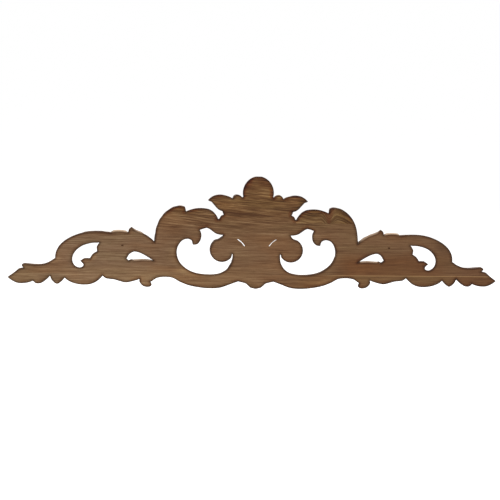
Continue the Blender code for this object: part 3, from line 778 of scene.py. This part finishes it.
class Nodes:
    """Adds and joins the nodes of one material."""

    def __init__(self, name):
        self.material = bpy.data.materials.new(name)
        self.material.use_nodes = True
        self.tree = self.material.node_tree
        self.shader = self.tree.nodes["Principled BSDF"]

    def add(self, kind, inputs=None, **settings):
        node = self.tree.nodes.new("ShaderNode" + kind)
        for key, value in settings.items():
            setattr(node, key, value)
        for key, value in (inputs or {}).items():
            self.put(node.inputs[key], value)
        return node

    def put(self, socket, value):
        if isinstance(value, bpy.types.NodeSocket):
            self.tree.links.new(value, socket)
        else:
            socket.default_value = value

    def math(self, operation, a, b=0.0, c=0.0, clamp=False):
        return self.add("Math", {0: a, 1: b, 2: c}, operation=operation, use_clamp=clamp).outputs[0]

    def noise(self, place, scale, detail=2.0, roughness=0.5):
        """Noise between about 0.2 and 0.8, with its own scale along each axis, per metre."""
        spread = self.add("VectorMath", {0: place, 1: scale}, operation="MULTIPLY").outputs[0]
        inputs = {"Vector": spread, "Scale": 1.0, "Detail": detail, "Roughness": roughness}
        return self.add("TexNoise", inputs).outputs["Fac"]

    def ramp(self, value, *stops):
        """A colour between those of the stops, each a value and its colour."""
        node = self.add("ValToRGB", {0: value})
        elements = node.color_ramp.elements
        while len(elements) < len(stops):
            elements.new(0.5)
        for element, (position, colour) in zip(elements, stops):
            element.position = position
            element.color = colour
        return node.outputs[0]

    def step(self, value, start, end):
        """0 below the start and 1 above the end, or the other way round."""
        inputs = {0: value, 1: start, 2: end, 3: 0.0, 4: 1.0}
        return self.add("MapRange", inputs, interpolation_type="SMOOTHSTEP").outputs[0]

    def mix(self, share, a, b, blend="MIX"):
        node = self.add("Mix", {0: share, 6: a, 7: b}, data_type="RGBA", blend_type=blend)
        return node.outputs[2]


# Places on the board, in metres: the notch in the -X shoulder, and the two glued joints
NOTCH_X = 0.0876
SHOULDER_JOINT = 0.0121
FOOT_JOINT = -0.0516


def glued_strips(n, x, z):
    """Masks of the two narrower strips glued to the board: one shoulder, and all along the foot."""
    past_crown_leaf = n.math("MULTIPLY_ADD", n.step(z, 0.0270, 0.0274), 0.0152, x)
    shoulder = n.math(
        "MULTIPLY",
        n.step(z, SHOULDER_JOINT - 0.0001, SHOULDER_JOINT + 0.0002),
        n.step(past_crown_leaf, -0.0468, -0.0471),
    )
    foot = n.step(z, FOOT_JOINT + 0.0002, FOOT_JOINT - 0.0002)
    return shoulder, foot


def grain_place(n, place, x, y, z, shoulder, foot):
    """Where a point lies in the tree: along the grain, and across it with its bends taken out."""
    bend = n.math("SUBTRACT", n.noise(place, (4.0, 4.0, 9.0), 1.0), 0.5)
    across = n.math("MULTIPLY_ADD", bend, 0.016, z)

    # Above the middle the grain falls a little towards -X
    slope = n.math("MULTIPLY", n.step(z, -0.004, 0.022), -0.085)
    across = n.math("MULTIPLY_ADD", x, slope, across)

    # In the shoulder strip it dips sharply under the notch and arches beyond it
    beside = n.math("ABSOLUTE", n.math("ADD", x, NOTCH_X))
    dip = n.math("MULTIPLY", n.step(beside, 0.010, 0.0), 0.009)
    dip = n.math("MULTIPLY_ADD", n.step(x, -0.098, -0.128), 0.014, dip)
    curl = n.math("MULTIPLY", n.math("SUBTRACT", n.noise(place, (40.0, 20.0, 40.0), 1.0), 0.5), 0.006)
    across = n.math("MULTIPLY_ADD", n.math("ADD", dip, curl), shoulder, across)

    # Each strip is from another place in the wood
    strip = n.math("MULTIPLY_ADD", shoulder, 0.71, n.math("MULTIPLY", foot, 0.37))
    moved = {0: n.math("ADD", x, strip), 1: y, 2: n.math("ADD", across, strip)}
    return n.add("CombineXYZ", moved).outputs[0]


def grain_colour(n, grain, x, z, shoulder):
    """Straight fine grain: soft bands, fibres drawn out along it, and thin dark lines of late wood."""
    bands = n.noise(grain, (2.0, 30.0, 70.0), 1.0)
    streaks = n.noise(grain, (6.0, 60.0, 340.0), 2.0, 0.6)
    fibres = n.noise(grain, (26.0, 120.0, 800.0), 3.0, 0.75)
    tone = n.math("MULTIPLY", n.math("SUBTRACT", bands, 0.5), 0.16)
    tone = n.math("MULTIPLY_ADD", n.math("SUBTRACT", streaks, 0.5), 0.34, tone)
    tone = n.math("MULTIPLY_ADD", n.math("SUBTRACT", fibres, 0.5), 1.0, tone)

    # It shows most near the top and in the shoulder strip, and least low on the -X side
    strength = n.math("MULTIPLY_ADD", n.step(z, -0.012, 0.032), 0.75, 0.6)
    strength = n.math("MULTIPLY_ADD", shoulder, 0.5, strength)
    calm = n.math("MULTIPLY", n.step(x, -0.085, -0.125), n.step(z, 0.012, 0.002))
    strength = n.math("MULTIPLY", strength, n.math("MULTIPLY_ADD", calm, -0.25, 1.0))
    tone = n.math("MULTIPLY_ADD", tone, strength, 0.5)
    colour = n.ramp(
        tone,
        (0.26, linear(60, 37, 18)),
        (0.40, linear(83, 56, 33)),
        (0.50, linear(103, 74, 48)),
        (0.60, linear(118, 90, 62)),
        (0.76, linear(145, 117, 88)),
    )
    late = n.math("ABSOLUTE", n.math("SUBTRACT", n.noise(grain, (2.5, 30.0, 150.0), 2.0, 0.6), 0.5))
    broken = n.step(n.noise(grain, (9.0, 20.0, 170.0), 1.0), 0.40, 0.60)
    lines = n.math("MULTIPLY", n.step(late, 0.024, 0.006), n.math("MULTIPLY", broken, strength))
    colour = n.mix(n.math("MULTIPLY", lines, 0.6), colour, linear(66, 38, 18))
    return colour, fibres


def tinted(n, share, colour, tint):
    """The colour multiplied by a tint, as far as the share says."""
    return n.mix(share, colour, (*tint, 1.0), "MULTIPLY")


# Where the board is scorched, and where it is rubbed pale: the middle, how far it reaches along X
# and Z, in millimetres, and its tint
STAINS = [
    ((-12, 64), (14, 8), (0.66, 0.5, 0.42)),
    ((16, 62), (8, 9), (0.86, 0.66, 0.6)),
    ((-57, 38), (8, 6), (0.74, 0.72, 0.58)),
    ((-69, 30), (14, 6), (0.7, 0.56, 0.42)),
    ((248, -57), (14, 6), (0.84, 0.84, 0.84)),
    ((-107, 28), (10, 7), (0.72, 0.65, 0.56)),
    ((-235, -14), (13, 9), (0.72, 0.66, 0.62)),
    ((206, -31), (11, 7), (1.35, 1.38, 1.3)),
    ((76, -46), (22, 7), (1.3, 1.38, 1.38)),
    ((-25, 44), (13, 6), (1.28, 1.36, 1.26)),
    ((91, 30), (20, 7), (1.3, 1.34, 1.26)),
    ((-94, -60), (20, 7), (1.22, 1.26, 1.3)),
    ((97, -29), (10, 9), (1.18, 1.18, 1.16)),
    ((252, -34), (14, 7), (1.25, 1.28, 1.28)),
    ((128, -57), (34, 8), (1.2, 1.28, 1.3)),
    ((6, -67), (8, 5), (0.74, 0.68, 0.6)),
    ((-216, -23), (8, 6), (0.78, 0.76, 0.72)),
    ((-71, -13), (8, 6), (0.8, 0.82, 0.78)),
]


def spotted(n, colour, x, z):
    """The scorched and the pale patches, with soft rims."""
    for middle, reach, tint in STAINS:
        off = [n.math("MULTIPLY_ADD", axis, 1 / (size * MM), -start / size)
               for axis, start, size in zip((x, z), middle, reach)]
        away = n.math("MULTIPLY_ADD", off[0], off[0], n.math("MULTIPLY", off[1], off[1]))
        colour = tinted(n, n.step(away, 1.7, 0.15), colour, tint)
    return colour


def tone_across_board(n, colour, grain, x, z, shoulder, foot):
    """Slow changes of tone across the board."""
    patch = n.noise(grain, (14.0, 20.0, 42.0), 2.0)
    colour = tinted(n, n.math("MULTIPLY", n.step(patch, 0.5, 0.66), 0.6), colour, (1.0, 0.88, 0.76))
    colour = tinted(n, n.math("MULTIPLY", n.step(patch, 0.5, 0.35), 0.6), colour, (0.96, 1.02, 0.96))

    # The +X end is paler and greyer but for its tip, and so is the middle, below the stems' meeting
    upper_share = n.math("MULTIPLY_ADD", n.step(z, -0.015, 0.005), -0.5, 1.0)
    paler = n.math("MULTIPLY", n.step(x, 0.0, 0.21), upper_share)
    colour = tinted(n, paler, colour, (1.22, 1.37, 1.65))
    colour = tinted(n, n.math("MULTIPLY", foot, n.step(x, 0.15, 0.2)), colour, (1.1, 1.13, 1.17))
    colour = tinted(n, n.step(x, 0.24, 0.28), colour, (0.9, 0.9, 0.84))
    middle = n.step(n.math("ABSOLUTE", n.math("SUBTRACT", x, 0.015)), 0.065, 0.03)
    middle = n.math("MULTIPLY", middle, n.step(z, -0.006, -0.02))
    colour = tinted(n, middle, colour, (1.07, 1.1, 1.16))

    # The -X end is darker, most of all at its tip, and the top is darker and warmer
    colour = tinted(n, n.step(x, -0.02, -0.24), colour, (0.88, 0.87, 0.89))
    colour = tinted(n, n.step(x, -0.23, -0.27), colour, (0.88, 0.8, 0.76))
    top = n.step(z, -0.003, 0.04)
    colour = tinted(n, top, colour, (0.92, 0.84, 0.63))
    colour = tinted(n, n.math("MULTIPLY", top, n.step(x, 0.02, -0.03)), colour, (0.93, 0.92, 0.92))

    # A darker, redder stretch over the foot on the -X side, and a lighter foot on the other
    low = n.math("MULTIPLY", n.step(z, -0.018, -0.034), n.math("SUBTRACT", 1.0, foot))
    stretch = n.math("MULTIPLY", n.step(x, -0.085, -0.115), n.step(x, -0.27, -0.20))
    colour = tinted(n, n.math("MULTIPLY", low, stretch), colour, (0.92, 0.78, 0.62))
    pale = n.math("MULTIPLY", n.step(z, -0.038, -0.048), n.step(x, -0.06, 0.05))
    colour = tinted(n, pale, colour, (1.1, 1.1, 1.04))

    # The shoulder strip is olive, with a red mark where its grain dips
    colour = tinted(n, shoulder, colour, (1.02, 1.07, 0.96))
    outer = n.math("MULTIPLY", shoulder, n.step(x, -0.094, -0.112))
    colour = tinted(n, outer, colour, (0.78, 0.66, 0.52))
    height = n.math("SUBTRACT", z, 0.012)
    half_width = n.math("MULTIPLY_ADD", height, 0.28, 0.0008)
    beside = n.math("ABSOLUTE", n.math("ADD", x, NOTCH_X))
    mark = n.math("MULTIPLY", n.step(n.math("SUBTRACT", beside, half_width), 0.0026, -0.0010), shoulder)
    return n.mix(n.math("MULTIPLY", mark, 0.6), colour, linear(80, 38, 16))


def glue_lines(n, colour, x, z, shoulder, foot):
    """The two thin joints that show, a light one along the foot and a dark one under the shoulder."""
    foot_line = n.step(n.math("ABSOLUTE", n.math("SUBTRACT", z, FOOT_JOINT)), 0.0007, 0.0001)
    foot_line = n.math("MULTIPLY", foot_line, n.step(x, -0.075, -0.105))
    colour = n.mix(n.math("MULTIPLY", foot_line, 0.6), colour, linear(150, 118, 82))
    below = n.math("MULTIPLY", foot, n.step(x, -0.03, -0.07))
    colour = tinted(n, below, colour, (1.08, 1.06, 0.94))
    joint = n.step(n.math("ABSOLUTE", n.math("SUBTRACT", z, SHOULDER_JOINT)), 0.0006, 0.0001)
    joint = n.math("MULTIPLY", joint, n.step(x, -0.05, -0.09))
    return n.mix(n.math("MULTIPLY", joint, 0.45), colour, linear(66, 44, 26))


def tool_marks_and_painted_light(n, colour, place, z):
    """What the tools left, with painted light: dark scorched edges, pale chamfers cut with a file, painted
    shade in the hollows and painted highlights on the ridges.
    """
    edge = n.add("Attribute", attribute_name="edge").outputs["Fac"]
    bare = n.add("Attribute", attribute_name="bare").outputs["Fac"]
    cavity = n.add("Attribute", attribute_name="cavity").outputs["Fac"]
    uneven = n.noise(place, (45.0, 45.0, 45.0), 3.0)
    strength = n.math("MULTIPLY_ADD", uneven, 0.9, 0.45)
    # The back's dark edge: scorched wood, widened as painted shade where it faces down or -X, and the pits'
    # dark tone, partly painted shade
    band = n.math("MULTIPLY", n.step(edge, 0.0, 1.0), strength, clamp=True)
    colour = tinted(n, band, colour, (0.25, 0.19, 0.11))
    scorch = n.math("MULTIPLY", n.step(edge, 0.0, 0.3), n.step(uneven, 0.43, 0.55))
    scorch = n.math("MULTIPLY", scorch, n.math("MULTIPLY_ADD", n.step(z, -0.01, 0.03), 0.7, 0.3))
    colour = tinted(n, scorch, colour, (0.88, 0.56, 0.36))
    # Pale fresh wood on the slanted cuts and slit walls, partly a painted highlight where they face up into
    # the top light
    colour = n.mix(n.math("MULTIPLY", bare, 0.85), colour, linear(167, 143, 119))
    # Painted shade in the hollows of the carving, and a painted highlight on its ridges
    colour = n.mix(n.math("MULTIPLY", n.step(cavity, 0.05, 0.8), 0.55), colour, linear(46, 28, 16))
    return n.mix(n.math("MULTIPLY", n.step(cavity, -0.1, -0.8), 0.25), colour, linear(148, 116, 84))


def wood_material():
    """Sanded brown hardwood with its grain along X, edge-glued from strips, darker where it was cut, with
    painted shade where the edges face down or -X and in the hollows, and painted highlights on the ridges
    and on cut faces that face up.
    """
    n = Nodes("carved wood")
    place = n.add("TexCoord").outputs["Object"]
    x, y, z = n.add("SeparateXYZ", {0: place}).outputs
    shoulder, foot = glued_strips(n, x, z)
    grain = grain_place(n, place, x, y, z, shoulder, foot)
    colour, fibres = grain_colour(n, grain, x, z, shoulder)
    pores = n.step(n.noise(grain, (120.0, 400.0, 3000.0), 1.0), 0.62, 0.74)
    colour = n.mix(n.math("MULTIPLY", pores, 0.45), colour, linear(56, 34, 18))
    colour = tone_across_board(n, colour, grain, x, z, shoulder, foot)
    colour = glue_lines(n, colour, x, z, shoulder, foot)
    colour = spotted(n, colour, x, z)
    colour = tool_marks_and_painted_light(n, colour, place, z)

    n.put(n.shader.inputs["Base Color"], colour)
    n.put(n.shader.inputs["Roughness"], n.math("MULTIPLY_ADD", fibres, 0.25, 0.55))
    n.shader.inputs["Specular IOR Level"].default_value = 0.15
    relief = n.math("SUBTRACT", n.math("MULTIPLY", fibres, 0.8), pores)
    bump = n.add("Bump", {"Strength": 0.35, "Distance": 0.00012, "Height": relief})
    n.put(n.shader.inputs["Normal"], bump.outputs[0])
    return n.material


def matt_material(name, colour):
    n = Nodes(name)
    n.shader.inputs["Base Color"].default_value = colour
    n.shader.inputs["Roughness"].default_value = 1.0
    n.shader.inputs["Specular IOR Level"].default_value = 0.0
    return n.material


# Stage, light and camera

# How far below the applique the floor lies and how wide it is, in metres, and the light: the
# studio's strength and colour, the floor's colour, and each lamp's place, watts and size
FLOOR_DROP = 0.35
FLOOR_SIZE = 60.0
FLOOR_COLOUR = (0.97, 0.97, 0.97, 1.0)
STUDIO_COLOUR = (1.0, 1.0, 1.0, 1.0)
STUDIO_STRENGTH = 1.03
LAMPS = {
    "top light": ((0.0, 0.15, 1.6), 12.0, 0.7),
    "front key": ((-1.1, -1.4, 1.6), 50.0, 0.5),
}


def make_floor():
    """A wide pale floor, well below the applique, as if it hung in the middle of a studio."""
    bpy.ops.mesh.primitive_plane_add(size=FLOOR_SIZE, location=(0, 0, cad_box[0].z - FLOOR_DROP))
    floor = bpy.context.object
    floor.name = "studio_floor"
    floor.data.materials.append(matt_material("pale floor", FLOOR_COLOUR))


def softbox(name, place, power, size):
    """A square soft light that faces the applique."""
    lamp = bpy.data.lights.new(name, "AREA")
    lamp.shape = "SQUARE"
    lamp.size = size
    lamp.energy = power
    made = bpy.data.objects.new(name, lamp)
    made.location = place
    made.rotation_mode = "QUATERNION"
    made.rotation_quaternion = (-Vector(place)).to_track_quat("-Z", "Y")
    bpy.context.scene.collection.objects.link(made)


def make_light():
    world = bpy.data.worlds.new("studio")
    world.use_nodes = True
    background = world.node_tree.nodes["Background"]
    background.inputs["Color"].default_value = STUDIO_COLOUR
    background.inputs["Strength"].default_value = STUDIO_STRENGTH
    bpy.context.scene.world = world
    bpy.context.scene.view_settings.view_transform = "Standard"
    for name, lamp in LAMPS.items():
        softbox(name, *lamp)


def make_camera():
    """The photograph's camera, behind the applique, a little above it and turned about its own axis."""
    azimuth, elevation, roll = map(math.radians, (VIEW_AZIMUTH, VIEW_ELEVATION, VIEW_ROLL))
    back = Vector((
        math.sin(azimuth) * math.cos(elevation),
        math.cos(azimuth) * math.cos(elevation),
        math.sin(elevation),
    ))
    lens = bpy.data.cameras.new("camera")
    lens.sensor_width = SENSOR
    lens.lens = LENS
    camera = bpy.data.objects.new("camera", lens)
    camera.rotation_mode = "QUATERNION"
    level = (-back).to_track_quat("-Z", "Y")
    camera.rotation_quaternion = level @ Matrix.Rotation(roll, 3, "Z").to_quaternion()
    camera.location = VIEW_TARGET + back * VIEW_DISTANCE
    bpy.context.scene.collection.objects.link(camera)
    bpy.context.scene.camera = camera


applique = carved_object()
applique.data.materials.append(wood_material())
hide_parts(NODE)
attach(applique, "root")

make_floor()
make_light()
make_camera()
